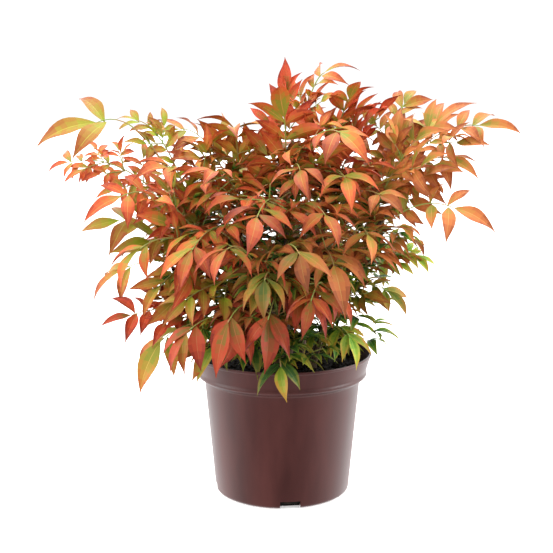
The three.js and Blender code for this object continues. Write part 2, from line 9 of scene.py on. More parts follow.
import bpy
import numpy as np
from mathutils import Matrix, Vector


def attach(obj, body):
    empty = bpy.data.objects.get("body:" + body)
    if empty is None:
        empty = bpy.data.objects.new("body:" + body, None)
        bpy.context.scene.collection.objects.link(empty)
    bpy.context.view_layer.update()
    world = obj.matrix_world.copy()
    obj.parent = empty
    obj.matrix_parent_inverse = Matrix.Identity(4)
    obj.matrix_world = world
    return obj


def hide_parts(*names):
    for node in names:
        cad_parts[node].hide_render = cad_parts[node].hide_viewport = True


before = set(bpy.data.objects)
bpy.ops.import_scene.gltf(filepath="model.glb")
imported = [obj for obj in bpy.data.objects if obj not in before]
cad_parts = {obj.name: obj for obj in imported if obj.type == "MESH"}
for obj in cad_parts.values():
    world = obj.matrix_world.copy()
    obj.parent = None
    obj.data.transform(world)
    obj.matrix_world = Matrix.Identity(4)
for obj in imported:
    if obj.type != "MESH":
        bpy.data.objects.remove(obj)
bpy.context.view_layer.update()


# ---- the pot -----------------------------------------
# A 3 litre nursery pot, injection moulded in one piece from maroon polypropylene. Its deep skirted
# rim stacks on the next pot, and four slots in the foot let water out. The mould leaves a satin
# skin, with faint smears where pots have rubbed together.

MM = 0.001
POT_HEIGHT = 150
RIM_RADIUS = 95
BASE_RADIUS = 72
SHOULDER_RADIUS = 83.5  # of the wall, level with the foot of the skirt
SKIRT_FOOT = 126  # height of the skirt's lower edge
SKIRT_FOOT_RADIUS = 89.8
SHOULDER = SKIRT_FOOT - 4  # height at which the skirt's sloping underside leaves the wall
BEAD = 4  # height of the thick edge at the skirt's foot
POT_WALL = 1.3
POT_FLOOR = 3
CORNER = 3.5  # radius round the pot's foot
CORNER_STEPS, WALL_STEPS, POT_SIDES = 5, 14, 192
# The steps (out, up) by which each bend in the wall turns, from the corner that it rounds
SHOULDER_BEND = (0.1, -0.7), (0.5, 0.1), (1.3, 0.8)
SKIRT_FOOT_BEND = (-1.2, -0.8), (-0.3, -0.1), (0.4, 0.7), (0.75, 1.8)
BEAD_BEND = (0.7, -1), (0.3, -0.1), (0.05, 0.5), (0.3, 2.5)
RIM_BEND = ((-1.0, -4.2), (-0.8, -3.2), (-0.2, -2.7), (0, -2.0), (0, -0.8), (-0.35, -0.15),
            (-1.0, 0), (-1.8, -0.2), (-2.2, -1.0))
SLOT_WIDTH, SLOT_HEIGHT, SLOT_DEPTH = 21, 8, 20
SLOT_TURN, SLOT_COUNT = math.radians(6.5), 4
CREASE = math.radians(38)  # edges sharper than this show as edges


def linear(colour):
    """The linear RGBA of an sRGB hex colour."""
    parts = [int(colour[i:i + 2], 16) / 255 for i in (1, 3, 5)]
    return (*[p / 12.92 if p <= 0.04045 else ((p + 0.055) / 1.055) ** 2.4 for p in parts], 1)


def add_node(tree, kind, inputs=None, feeds=None, **settings):
    """Adds a node. An input given as a socket is linked, and any other is set. feeds gives the
    sockets that its outputs are linked to."""
    node = tree.nodes.new("ShaderNode" + kind)
    for name, value in settings.items():
        setattr(node, name, value)
    for name, value in (inputs or {}).items():
        if isinstance(value, bpy.types.NodeSocket):
            tree.links.new(value, node.inputs[name])
        else:
            node.inputs[name].default_value = value
    for name, socket in (feeds or {}).items():
        tree.links.new(node.outputs[name], socket)
    return node


def start_material(name, colour, finish):
    """A new material, its node tree and its shader, with a plain colour and a finish."""
    material = bpy.data.materials.new(name)
    material.use_nodes = True
    material.diffuse_color = linear(colour)
    shader = material.node_tree.nodes["Principled BSDF"]
    for word, value in {"Base Color": linear(colour), **finish}.items():
        shader.inputs[word].default_value = value
    return material, material.node_tree, shader


def noise_of(size, detail, **settings):
    """The inputs of a noise whose patches are as large as a size in millimetres."""
    return {"Scale": 1 / (size * MM), "Detail": detail, **settings}


def grained_material(name, colour, finish, pattern, tones, stretch=None, relief=None):
    """A material whose colour runs from one tone to another with the grain of a pattern. stretch
    turns the grain and draws it out, and relief, a strength and a height in metres, raises it."""
    material, tree, shader = start_material(name, colour, finish)
    place = add_node(tree, "TexCoord").outputs["Object"]
    if stretch:
        mapping = add_node(tree, "Mapping", {"Vector": place, **stretch})
        place = mapping.outputs["Vector"]
    grain = add_node(tree, "TexNoise", {"Vector": place, **pattern}).outputs["Fac"]
    tone = add_node(tree, "ValToRGB", {"Fac": grain}, {"Color": shader.inputs["Base Color"]})
    for stop, (at, shade) in zip(tone.color_ramp.elements, tones):
        stop.position, stop.color = at, linear(shade)
    if relief:
        add_node(tree, "Bump", {"Height": grain, "Strength": relief[0], "Distance": relief[1]},
                 {"Normal": shader.inputs["Normal"]})
    return material, tree, shader, grain


def add_piece(name, points, faces, materials, face_materials=None, smooth=True):
    """Adds a mesh object from points in millimetres."""
    mesh = bpy.data.meshes.new(name)
    mesh.from_pydata((np.asarray(points, float) * MM).tolist(), [], faces)
    for material in materials:
        mesh.materials.append(material)
    if face_materials is not None:
        mesh.polygons.foreach_set("material_index", np.asarray(face_materials, np.int32))
    mesh.polygons.foreach_set("use_smooth", [smooth] * len(mesh.polygons))
    mesh.update()
    piece = bpy.data.objects.new(name, mesh)
    bpy.context.scene.collection.objects.link(piece)
    return piece


def turned(x, y, angle):
    return x * math.cos(angle) - y * math.sin(angle), x * math.sin(angle) + y * math.cos(angle)


def turned_mesh(outline, sides):
    """Points and faces of an outline of (radius, height) turned about Z, from axis to axis."""
    angles = [2 * math.pi * i / sides for i in range(sides)]
    rings = [(radius * math.cos(angle), radius * math.sin(angle), height)
             for radius, height in outline[1:-1] for angle in angles]
    points = [(0, 0, outline[0][1]), *rings, (0, 0, outline[-1][1])]
    last = len(rings) + 1 - sides
    faces = []
    for i in range(sides):
        j = (i + 1) % sides
        faces.append((0, 1 + j, 1 + i))
        for low in range(1, last, sides):
            faces.append((low + i, low + j, low + sides + j, low + sides + i))
        faces.append((last + i, last + j, last + sides))
    return points, faces


def wall_radius(height):
    """The outer radius of the wall, which widens evenly up to the foot of the skirt."""
    share = (height - CORNER) / (SKIRT_FOOT - CORNER)
    return BASE_RADIUS + (SHOULDER_RADIUS - BASE_RADIUS) * share


def pot_outline():
    """Up the outside of the pot from the middle of its underside, over the rim, and back inside."""
    flat = BASE_RADIUS - CORNER
    outline = [(0, 0), (flat - 4, 0), (flat, 0)]
    for i in range(1, CORNER_STEPS + 1):
        turn = math.pi / 2 * i / CORNER_STEPS
        outline.append((flat + CORNER * math.sin(turn), CORNER - CORNER * math.cos(turn)))
    for i in range(1, WALL_STEPS + 1):
        height = CORNER + (SHOULDER - 1.5 - CORNER) * i / WALL_STEPS
        outline.append((wall_radius(height), height))
    for radius, height, bend in (
        (wall_radius(SHOULDER), SHOULDER, SHOULDER_BEND),
        (SKIRT_FOOT_RADIUS, SKIRT_FOOT, SKIRT_FOOT_BEND),
        (SKIRT_FOOT_RADIUS, SKIRT_FOOT + BEAD, BEAD_BEND),
        (RIM_RADIUS, POT_HEIGHT, RIM_BEND),
    ):
        outline += [(radius + out, height + up) for out, up in bend]
    return outline + [
        (SKIRT_FOOT_RADIUS - POT_WALL, SKIRT_FOOT + BEAD),
        (wall_radius(SHOULDER) - POT_WALL, SHOULDER + POT_WALL),
        (wall_radius(CORNER + POT_FLOOR) - POT_WALL, CORNER + POT_FLOOR),
        (flat, POT_FLOOR),
        (0, POT_FLOOR),
    ]


def cut_slots(piece):
    """Cuts the drain slots through the wall at the pot's foot, a quarter turn apart."""
    cutters = []
    for i in range(SLOT_COUNT):
        turn = SLOT_TURN + 2 * math.pi * i / SLOT_COUNT
        corners = []
        for x in (-SLOT_WIDTH / 2, SLOT_WIDTH / 2):
            for y in (-BASE_RADIUS - SLOT_DEPTH / 2, -BASE_RADIUS + SLOT_DEPTH / 2):
                corners += [(*turned(x, y, turn), z) for z in (-SLOT_HEIGHT, SLOT_HEIGHT)]
        sides = [(0, 1, 3, 2), (4, 6, 7, 5), (0, 4, 5, 1), (2, 3, 7, 6), (0, 2, 6, 4), (1, 5, 7, 3)]
        cutters.append(add_piece(f"slot_cutter_{i}", corners, sides, [], smooth=False))
    for cutter in cutters:
        modifier = piece.modifiers.new("slot", "BOOLEAN")
        modifier.operation = "DIFFERENCE"
        modifier.solver = "EXACT"
        modifier.object = cutter
    bpy.context.view_layer.update()
    graph = bpy.context.evaluated_depsgraph_get()
    cut = bpy.data.meshes.new_from_object(piece.evaluated_get(graph))
    piece.modifiers.clear()
    piece.data = cut
    for cutter in cutters:
        bpy.data.objects.remove(cutter)


# Polypropylene moulded in maroon: IOR 1.49, a satin skin that the eye reads as a soft vertical
# sheen, a little warmer and paler where it has been rubbed. The mould's pits are drawn coarser
# than life to show.
SMEAR, PIT = 38.46, 1.111
moulded_plastic, tree, shader, smears = grained_material(
    "satin_moulded_polypropylene", "#461E1B", {"IOR": 1.49, "Specular IOR Level": 0.42},
    noise_of(SMEAR, 4, Roughness=0.55), [(0.32, "#371412"), (0.7, "#4C1F1B")],
    stretch={"Rotation": (0, 0.5, 0.3), "Scale": (1, 1, 0.22)},
)
add_node(tree, "MapRange",
         {"Value": smears, "From Min": 0.3, "From Max": 0.7, "To Min": 0.36, "To Max": 0.47},
         {"Result": shader.inputs["Roughness"]})
place = add_node(tree, "TexCoord").outputs["Object"]
pits = add_node(tree, "TexNoise", {"Vector": place, **noise_of(PIT, 2)})
add_node(tree, "Bump",
         {"Height": pits.outputs["Fac"], "Strength": 0.12, "Distance": 0.0003},
         {"Normal": shader.inputs["Normal"]})

pot_points, pot_faces = turned_mesh(pot_outline(), POT_SIDES)
nursery_pot = add_piece("nursery_pot", pot_points, pot_faces, [moulded_plastic])
cut_slots(nursery_pot)

# Painted shade, on a matt finish: the inner wall of each slot is painted nearly black and the
# inside of the rim a dull dark brown, for the shade that falls in them.
SLOT_SHADE, RIM_SHADE = 1, 2
SLOT_REACH, RIM_REACH, RIM_TOP = BASE_RADIUS - 5, RIM_RADIUS - 2.3, POT_HEIGHT - 1.2
PAINTED_SHADE_FINISH = {"Roughness": 0.85, "Specular IOR Level": 0.12}
PAINTED_SHADE_COLOURS = [("peat_stained_polypropylene", "#0C0908"), ("peat_dusted_polypropylene", "#2C1614")]
for name, colour in PAINTED_SHADE_COLOURS:
    nursery_pot.data.materials.append(start_material(name, colour, PAINTED_SHADE_FINISH)[0])
# Painted shade goes on the slot walls and on the inside of the rim.
for face in nursery_pot.data.polygons:
    x, y, z = face.center / MM
    radius, facing = math.hypot(x, y), face.normal
    in_slot = radius < SLOT_REACH and 0.1 < z < SLOT_HEIGHT
    in_rim = radius < RIM_REACH and SKIRT_FOOT + BEAD < z < RIM_TOP
    if in_slot and abs(facing.z) < 0.5:
        face.material_index = SLOT_SHADE
    elif in_rim and facing.z > -0.5 and facing.x * x + facing.y * y < 0:
        face.material_index = RIM_SHADE
nursery_pot.data.set_sharp_from_angle(angle=CREASE)
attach(nursery_pot, "root")
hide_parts("pot")


# ---- the compost -------------------------------------
# Damp peat and bark potting compost, nearly black, filled to 14 mm below the rim. Its surface is
# loose, with crumbs and bark chips of 2 to 5 mm that lie half sunk in it.

GAP = 0.3  # between pieces that touch
COMPOST_TOP = 136
COMPOST_REACH = SKIRT_FOOT_RADIUS - POT_WALL - 0.9
COMPOST_SIDES, COMPOST_RINGS = 120, 30
CRUMBLE = 0.35  # how unevenly the surface crumbles, up and down
GRAIN = 1.5  # how far the crumbs may stand over the surface
CHIPS = 900
CHIP_LEAST, CHIP_SPREAD = 0.7, 1.9  # half the length of the least, and how much larger they run
CHIP_ROUGHNESS = CHIP_LIFT = 0.3


class Draws:
    """The same run of numbers for the same seed, by the Park-Miller rule."""

    def __init__(self, seed):
        self.state = (seed * 7919) % 2147483647
        for _ in range(3):
            self.next()

    def next(self):
        self.state = self.state * 48271 % 2147483647
        return self.state / 2147483647

    def spread(self, size):
        return (self.next() * 2 - 1) * size


def compost_body():
    """The turned body of the compost, with an uneven top."""
    surface = COMPOST_TOP - 1
    outline = [
        (0, POT_FLOOR + GAP), (BASE_RADIUS - 5.5, POT_FLOOR + GAP), (BASE_RADIUS - 1.3, 8.5),
        (wall_radius(SHOULDER) - POT_WALL - 2 * GAP, SHOULDER + POT_WALL),
        (COMPOST_REACH, SKIRT_FOOT + BEAD + GAP), (COMPOST_REACH, surface - 1),
    ]
    for i in range(1, COMPOST_RINGS):
        outline.append((COMPOST_REACH * (1 - i / COMPOST_RINGS), surface))
    outline.append((0, surface))
    points, faces = turned_mesh(outline, COMPOST_SIDES)
    draws = Draws(3)
    for i, (x, y, z) in enumerate(points):
        if z == surface:
            swell = 0.5 * math.sin(x / 11 + 1) * math.cos(y / 9) + 0.25 * math.sin(x / 4 + y / 5)
            points[i] = (x, y, z + swell + draws.spread(CRUMBLE))
    return points, faces


def add_chips(points, faces):
    """Scatters crumbs, each an eight-sided lump turned its own way and half sunk."""
    draws = Draws(5)
    for _ in range(CHIPS):
        reach = COMPOST_REACH * math.sqrt(draws.next()) * 0.97
        angle = 2 * math.pi * draws.next()
        size = CHIP_LEAST + CHIP_SPREAD * draws.next() ** 2
        turn = math.pi * draws.next()
        long_side, wide_side = size * (1 + draws.next()), size * (0.5 + 0.4 * draws.next())
        middle = (reach * math.cos(angle), reach * math.sin(angle), COMPOST_TOP - 0.9)
        first = len(points)
        for dx, dy, dz in ((1, 0, 0), (0, 1, 0), (-1, 0, 0), (0, -1, 0), (0, 0, 1), (0, 0, -1)):
            x = dx * long_side + draws.spread(CHIP_ROUGHNESS)
            y = dy * wide_side + draws.spread(CHIP_ROUGHNESS)
            x, y = turned(x, y, turn)
            rise = dz * min(size * 0.6, GRAIN) + draws.spread(CHIP_ROUGHNESS) + CHIP_LIFT
            points.append((middle[0] + x, middle[1] + y, middle[2] + rise))
        for a, b in ((0, 1), (1, 2), (2, 3), (3, 0)):
            faces.append((first + a, first + b, first + 4))
            faces.append((first + b, first + a, first + 5))
    return points, faces


# Wet peat and bark: a rough, dark, fibrous surface with no gloss, with a few browner crumbs.
CRUMB = 3.846
damp_compost = grained_material(
    "damp_peat_compost", "#120E0A", {"Roughness": 0.95, "Specular IOR Level": 0.1},
    noise_of(CRUMB, 5), [(0.45, "#090706"), (0.72, "#241A12")], relief=(0.6, 0.001),
)[0]

body_points, body_faces = compost_body()
compost_bed = add_piece("compost_bed", *add_chips(body_points, body_faces), [damp_compost],
                        smooth=False)
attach(compost_bed, "root")
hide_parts("compost")


# ---- the canes ---------------------------------------
# Seven thin upright canes of grey-brown wood, which stand in the compost. Each is ringed where old
# leaves clasped it, and the bark between the rings is ribbed lengthwise.

CANE_FOOT_RADIUS, CANE_TIP_RADIUS = 4.2, 2.2
CANE_LEAN, CANE_RISE = 0.3, 0.65  # where a cane's bend is pulled to
CANE_STEPS = 4
CANES = [
    ((-28, -12), (-105, -25, 285)),
    ((-12, 18), (-60, 40, 330)),
    ((4, -6), (5, -5, 365)),
    ((20, 16), (62, 45, 345)),
    ((32, -14), (108, -30, 300)),
    ((-4, -34), (-18, -92, 245)),
    ((8, 38), (18, 112, 280)),
]
CANE_SIDES, CANE_STATIONS = 24, 90
CANE_ROOT = 3  # how deep a cane goes on down into the compost
BARK_INSET = 0.25  # of the bark between its rings, within the plain cane
RING_SPACING = 17  # between the rings that old leaves leave
RING_SWELLING, SCAR_DEPTH = 0.34, 0.22
BARK_RIBS, RIB_DEPTH = 9, 0.16  # the ribs are drawn deeper than life to show
BARK_SEED = 40

UP = np.array([0.0, 0.0, 1.0])


def unit(vector):
    return vector / np.linalg.norm(vector)


def mix(a, b, share):
    return a + (b - a) * share


class Bend:
    """A bend from foot to tip, pulled towards middle. Its straight steps are those of the solid."""

    def __init__(self, foot, middle, tip, steps):
        self.foot, self.middle, self.tip, self.steps = foot, middle, tip, steps
        self.sideways = unit(np.cross(tip - foot, middle - foot))

    def point(self, t):
        s = 1 - t
        return self.foot * s * s + self.middle * (2 * s * t) + self.tip * t * t

    def ahead(self, t):
        return unit((self.middle - self.foot) * (1 - t) + (self.tip - self.middle) * t)

    def pieces(self, foot_radius, tip_radius):
        """The straight pieces of the solid's tube, each with its foot, tip and radius."""
        shares = [i / self.steps for i in range(self.steps + 1)]
        ends = np.array([self.point(t) for t in shares])
        radii = np.array([mix(foot_radius, tip_radius, t) for t in shares[:-1]])
        return ends[:-1], ends[1:], radii

    def length(self):
        feet, tips, _ = self.pieces(1, 1)
        return float(np.linalg.norm(tips - feet, axis=1).sum())

    def back(self, length):
        """The place t and the point that lie a given length back along the steps from the tip."""
        left = length
        for i in range(self.steps, 0, -1):
            near, far = self.point(i / self.steps), self.point((i - 1) / self.steps)
            size = np.linalg.norm(near - far)
            if left <= size or i == 1:
                return (i - left / size) / self.steps, near + (far - near) * (left / size)
            left -= size


class Tubes:
    """Gathers round tubes into one mesh."""

    def __init__(self, sides):
        self.sides, self.points, self.faces = sides, [], []

    def add(self, centres, aheads, sideways, radius):
        """A tube through the centres. radius gives the radius at a place t and an angle."""
        count = len(centres)
        first = len(self.points)
        for i, (centre, ahead) in enumerate(zip(centres, aheads)):
            across = unit(np.cross(sideways, ahead))
            side = np.cross(ahead, across)
            t = i / (count - 1)
            for k in range(self.sides):
                angle = 2 * math.pi * k / self.sides
                out = side * math.cos(angle) + across * math.sin(angle)
                self.points.append(centre + out * radius(t, angle))
        for i in range(count - 1):
            for k in range(self.sides):
                a, b = first + i * self.sides + k, first + i * self.sides + (k + 1) % self.sides
                self.faces.append((a, b, b + self.sides, a + self.sides))
        last = first + (count - 1) * self.sides
        self.faces.append(tuple(range(first + self.sides - 1, first - 1, -1)))
        self.faces.append(tuple(range(last, last + self.sides)))


def cane_bend(foot, tip):
    bottom = np.array([foot[0], foot[1], COMPOST_TOP + GAP], float)
    top = np.array(tip, float)
    middle = mix(bottom, top, CANE_LEAN)
    middle[2] = mix(bottom[2], top[2], CANE_RISE)
    return Bend(bottom, middle, top, CANE_STEPS)


def bark_radius(bend, seed):
    """The bark's radius at t and an angle: a taper with ribs, and a swelling at each ring with
    the scar of an old leaf under it."""
    rings = bend.length() / RING_SPACING
    phase = Draws(seed).next()

    def radius(t, angle):
        size = mix(CANE_FOOT_RADIUS, CANE_TIP_RADIUS, t) - BARK_INSET
        place = (t * rings + phase) % 1
        swelling = RING_SWELLING * math.exp(-((place - 0.5) / 0.07) ** 2)
        scar = SCAR_DEPTH * math.exp(-((place - 0.41) / 0.03) ** 2)
        ribs = RIB_DEPTH * math.sin(BARK_RIBS * angle + 3 * math.sin(5 * t + phase)) * size / 4
        return size + swelling - scar + ribs

    return radius


# Young wood with ribbed bark: matt, grey-brown, darker in the hollows between its ribs.
FIBRE_WIDTH, FIBRE_DRAW = 1.4286, 0.12  # the fibres run lengthwise, eight times as long as wide
ribbed_bark = grained_material(
    "ribbed_cane_bark", "#5A4432", {"Roughness": 0.8},
    noise_of(FIBRE_WIDTH, 4, Roughness=0.6), [(0.35, "#35271C"), (0.68, "#7A6248")],
    stretch={"Scale": (1, 1, FIBRE_DRAW)}, relief=(0.5, 0.0005),
)[0]

canes = [cane_bend(foot, tip) for foot, tip in CANES]
bark = Tubes(CANE_SIDES)
for i, cane in enumerate(canes):
    shares = [k / (CANE_STATIONS - 1) for k in range(CANE_STATIONS)]
    centres = [cane.point(t) for t in shares]
    centres[0] = centres[0] - UP * CANE_ROOT
    bark.add(centres, [UP] + [cane.ahead(t) for t in shares[1:]], cane.sideways,
             bark_radius(cane, BARK_SEED + i))
cane_wood = add_piece("cane_wood", bark.points, bark.faces, [ribbed_bark])
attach(cane_wood, "root")
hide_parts(*[f"cane_{i + 1}" for i in range(len(CANES))])


# ---- the fronds' stems -------------------------------
# A frond is one compound leaf. Its thin green stem clasps the cane with a swollen sheath, arches
# out to its tip, and bears side stalks in pairs. Where the way is taken it bows to one side.

STEM_FOOT_RADIUS, STEM_TIP_RADIUS, STEM_STEPS = 1.3, 0.6, 4
STAND_OFFS = [0.35, 0.7, 1.05, 1.4, 1.75, 2.1]
BOWS = [0, 8, -8, 16, -16, 24, -24, 32, -32]
LIGHT = np.array([0.0, -0.8, 0.6])
FIRST_SEED, SEED_STEP = 11, 13

# Each frond: its cane and how far up that, its tip, how high it arches, its usual leaf length, its
# pairs of side stalks and of leaves at its tip, how far it faces the light, its droop, how far its
# tip's leaves spread in degrees, and its tint. Before a group's fronds stands what they share.
PLAIN_FROND = dict(tops=2, spread=52, reach=1)
CROWN = {
    "left": (dict(cane=1, arch=40, leaf=42, pairs=2, face=2, droop=0.2, tint="lime"), [
        dict(at=0.85, tip=(-187, -30, 392), arch=85, leaf=62, pairs=0, tops=1, spread=64, face=3,
             droop=-0.15),
        dict(at=0.8, tip=(-149, -10, 394), arch=60, leaf=26, pairs=1, droop=0),
        dict(at=0.75, tip=(-224, 10, 350), arch=65, leaf=28, pairs=3, spread=68, face=3,
             tint="coral"),
        dict(at=0.7, tip=(-159, -60, 321), arch=55, spread=60, droop=0.1, tint="coral"),
        dict(at=0.65, tip=(-169, -10, 291), leaf=46, spread=62, droop=0),
        dict(at=0.5, tip=(-138, -90, 273), arch=55, leaf=44, tops=1, droop=0.5, tint="coral"),
        dict(at=0.45, tip=(-163, -25, 243), tops=1, droop=0.4, tint="gold"),
        dict(at=0.35, tip=(-153, -55, 200), arch=15, leaf=34, spread=62, droop=0, tint="red"),
        dict(at=0.15, tip=(-121, -80, 179), leaf=50, pairs=1, droop=0.9, tint="gold"),
        dict(cane=3, at=0.25, tip=(-94, -92, 223), leaf=38, pairs=1, face=1),
        dict(cane=6, at=0.3, tip=(-90, -105, 196), leaf=46, tops=1, face=1, droop=0.8, tint="red"),
    ]),
    "upper": (dict(cane=2, arch=40, leaf=44, pairs=2, face=1.2, droop=0.1, tint="orange"), [
        dict(at=0.75, tip=(-107, 15, 384), arch=50, leaf=40, droop=0.2, tint="gold"),
        dict(at=0.65, tip=(-115, -50, 349), leaf=48, tops=1),
        dict(cane=3, at=0.9, tip=(4, 0, 424), arch=20, leaf=32, spread=30, face=0.8, droop=0,
             tint="red"),
        dict(cane=3, at=0.7, tip=(2, -40, 397), arch=30, leaf=46, face=1, droop=0, tint="coral"),
        dict(at=0.8, tip=(-49, -20, 386), arch=50, leaf=42, spread=75, droop=-0.2, tint="gold"),
        dict(cane=3, at=0.8, tip=(43, 0, 442), arch=50, leaf=34, pairs=1, spread=60, face=0.6),
        dict(cane=4, at=0.8, tip=(67, -30, 415), leaf=40, pairs=1, droop=-0.2, tint="coral"),
        dict(cane=4, at=0.65, tip=(96, -40, 397), leaf=40, pairs=1, spread=35, face=3, droop=-0.4,
             tint="red"),
        dict(cane=3, at=0.8, tip=(55, -85, 384), leaf=46, face=0.8, droop=0.3),
    ]),
    "right": (dict(cane=5, arch=40, leaf=42, pairs=1, face=1.5, droop=0.1, tint="rust"), [
        dict(at=0.85, tip=(129, 30, 410), leaf=34, spread=40, tint="gold"),
        dict(at=0.8, tip=(151, -40, 389), leaf=44, droop=-0.2),
        dict(at=0.65, tip=(199, -20, 389), arch=75, leaf=38, pairs=3, spread=60, face=2, droop=0),
        dict(at=0.6, tip=(166, -25, 357), arch=55, leaf=40, pairs=2, droop=0.5),
        dict(at=0.5, tip=(167, -75, 311), arch=62, leaf=42, pairs=0, tops=3, spread=74, face=3,
             droop=0),
        dict(at=0.4, tip=(142, 0, 253), leaf=27, spread=60, droop=0, tint="green"),
        dict(at=0.25, tip=(107, -40, 222), leaf=32, droop=0.3, tint="olive"),
    ]),
    "front": (dict(cane=6, arch=40, leaf=42, pairs=2, face=0.6, droop=0.6, tint="coral"), [
        dict(cane=3, at=0.6, tip=(-24, -150, 310), leaf=40, spread=72, face=1.2, droop=0.3),
        dict(at=0.7, tip=(-52, -145, 280), tops=1),
        dict(at=0.6, tip=(-17, -150, 252), leaf=37, pairs=1, face=1, tint="olive"),
        dict(cane=4, at=0.4, tip=(48, -120, 261), leaf=49, pairs=1, droop=0.3, tint="rust"),
        dict(cane=5, at=0.35, tip=(26, -140, 231), leaf=38, pairs=1, spread=66, face=0.8),
        dict(cane=3, at=0.35, tip=(-14, -130, 211), leaf=46, tops=1, droop=0.8, tint="red"),
        dict(at=0.2, tip=(-2, -107, 160), arch=20, leaf=40, pairs=0, tops=1, tint="green"),
        dict(cane=2, at=0.5, tip=(-86, -115, 275), arch=55, leaf=41, pairs=1),
        dict(at=0.45, tip=(-52, -128, 208), leaf=46, tops=1, droop=0.9, tint="red"),
    ]),
    "middle": (dict(cane=3, arch=45, leaf=39, pairs=2, tops=1, face=0.8, droop=0.1,
                    tint="orange"), [
        dict(cane=2, at=0.6, tip=(-65, -100, 348)),
        dict(at=0.65, tip=(16, -110, 350)),
        dict(cane=4, at=0.7, tip=(59, -100, 342), tint="coral"),
        dict(cane=4, at=0.55, tip=(94, -85, 324), pairs=1, tint="rust"),
        dict(at=0.5, tip=(39, -130, 310), droop=0.3),
        dict(cane=5, at=0.55, tip=(81, -100, 288), droop=0.3, tint="rust"),
        dict(cane=6, at=0.85, tip=(15, -150, 276), pairs=1, droop=0.4, tint="rust"),
    ]),
    "low": (dict(arch=30, leaf=36, pairs=1, face=0.8, droop=0.6, reach=1.1, tint="green"), [
        dict(cane=3, at=0.1, tip=(-67, -75, 174)),
        dict(cane=5, at=0.12, tip=(66, -80, 184)),
    ]),
    "back": (dict(cane=7, arch=55, leaf=50, pairs=2, tops=1, face=-0.4, droop=0.4, tint="orange"), [
        dict(at=0.75, tip=(-25, 180, 335)),
        dict(at=0.65, tip=(80, 160, 318), pairs=1, tint="coral"),
        dict(at=0.4, tip=(20, 185, 245), pairs=1, droop=0.6, tint="rust"),
        dict(cane=2, at=0.45, tip=(-135, 110, 315), tint="gold"),
        dict(cane=4, at=0.6, tip=(130, 115, 350)),
        dict(cane=4, at=0.3, tip=(105, 110, 240), droop=0.6, tint="green"),
    ]),
}


class Frond:
    """A frond as its row in the crown gives it, and what has grown on it so far."""

    def __init__(self, name, row, seed):
        self.name, self.seed = name, seed
        for word, value in row.items():
            setattr(self, word, value)
        self.tip = np.array(self.tip, float)
        self.bend, self.stalks, self.twigs, self.leaves = None, [], [], []

    def foot(self, stand_off):
        """Where the stem leaves its cane: on the side that it rises to, off the bark."""
        cane = canes[self.cane - 1]
        axis, ahead = cane.point(self.at), cane.ahead(self.at)
        out = (self.tip - axis) * 0.5 + UP * self.arch
        out = unit(out - ahead * out.dot(ahead))
        radius = mix(CANE_FOOT_RADIUS, CANE_TIP_RADIUS, self.at)
        return axis + out * (radius + STEM_FOOT_RADIUS + stand_off)

    def frame(self, t):
        """The way along the stem at t, its upper face, turned to the light, and its side."""
        ahead = self.bend.ahead(t)
        upper = np.cross(unit(np.cross(ahead, UP)), ahead) + LIGHT * self.face
        upper = unit(upper - ahead * upper.dot(ahead))
        return ahead, upper, np.cross(ahead, upper)


def pieces_clear(pieces, taken):
    """Whether straight pieces keep the gap to all those taken, by how near their axes come."""
    foot, tip, radius = (part[:, None] for part in pieces)
    other_foot, other_tip, other_radius = (part[None, :] for part in taken)
    u, v, w = tip - foot, other_tip - other_foot, foot - other_foot
    uu, vv, uv = (u * u).sum(2), (v * v).sum(2), (u * v).sum(2)
    uw, vw = (u * w).sum(2), (v * w).sum(2)
    slant = uu * vv - uv * uv
    s = np.where(slant > 1e-9, (uv * vw - vv * uw) / np.maximum(slant, 1e-9), 0).clip(0, 1)
    t = (uv * s + vw) / vv
    s = np.where(t < 0, (-uw / uu).clip(0, 1), np.where(t > 1, ((uv - uw) / uu).clip(0, 1), s))
    t = t.clip(0, 1)
    distance = np.linalg.norm(w + u * s[..., None] - v * t[..., None], axis=2)
    return bool((distance > radius + other_radius + GAP).all())


def joined_pieces(a, b):
    return tuple(np.concatenate(pair) for pair in zip(a, b))


def grow_stem(frond, taken):
    """Finds the stem's bend: the least stand-off and bow that keep it clear."""
    for stand_off in STAND_OFFS:
        foot = frond.foot(stand_off)
        way = frond.tip - foot
        for bow in BOWS:
            middle = foot + way * 0.5 + UP * frond.arch + unit(np.cross(way, UP)) * bow
            bend = Bend(foot, middle, frond.tip, STEM_STEPS)
            pieces = bend.pieces(STEM_FOOT_RADIUS, STEM_TIP_RADIUS)
            if pieces_clear(pieces, taken):
                return bend, joined_pieces(taken, pieces)
    raise ValueError(f"{frond.name} finds no clear way")


fronds = []
for group, (usual, rows) in CROWN.items():
    for i, row in enumerate(rows):
        seed = FIRST_SEED + SEED_STEP * len(fronds)
        fronds.append(Frond(f"frond_{group}_{i + 1}", {**PLAIN_FROND, **usual, **row}, seed))
taken = canes[0].pieces(CANE_FOOT_RADIUS, CANE_TIP_RADIUS)
for cane in canes[1:]:
    taken = joined_pieces(taken, cane.pieces(CANE_FOOT_RADIUS, CANE_TIP_RADIUS))
for frond in fronds:
    frond.bend, taken = grow_stem(frond, taken)


# ---- the leaflets ------------------------------------
# Narrow pointed leaflets, in threes and fives at the ends of stems and stalks. Each is folded a
# little along its midrib, arched, and drawn out to a fine tip. The young ones are lime at the
# foot and run through gold to coral red, and old ones low down are green with a yellow edge.

# Shares of a leaflet's length: how high it arches, where it is widest, and how wide it is
LEAF_ARCH, LEAF_WIDEST = 0.07, 0.38
LEAF_WIDTH, LEAF_WIDTH_SPREAD = 0.3, 0.07
LEAF_LEAST, LEAF_LENGTH_SPREAD = 0.86, 0.3  # of the length that its place gives it
# How far a leaflet strays from its way and its face tilts, and how far the face turns up
LEAF_SWAY, LEAF_TILT, LEAF_LIFT = 0.12, (0.5, 0.4, 0.3), 0.15
STAGGER = 0.9  # along the twig, between the two of a pair
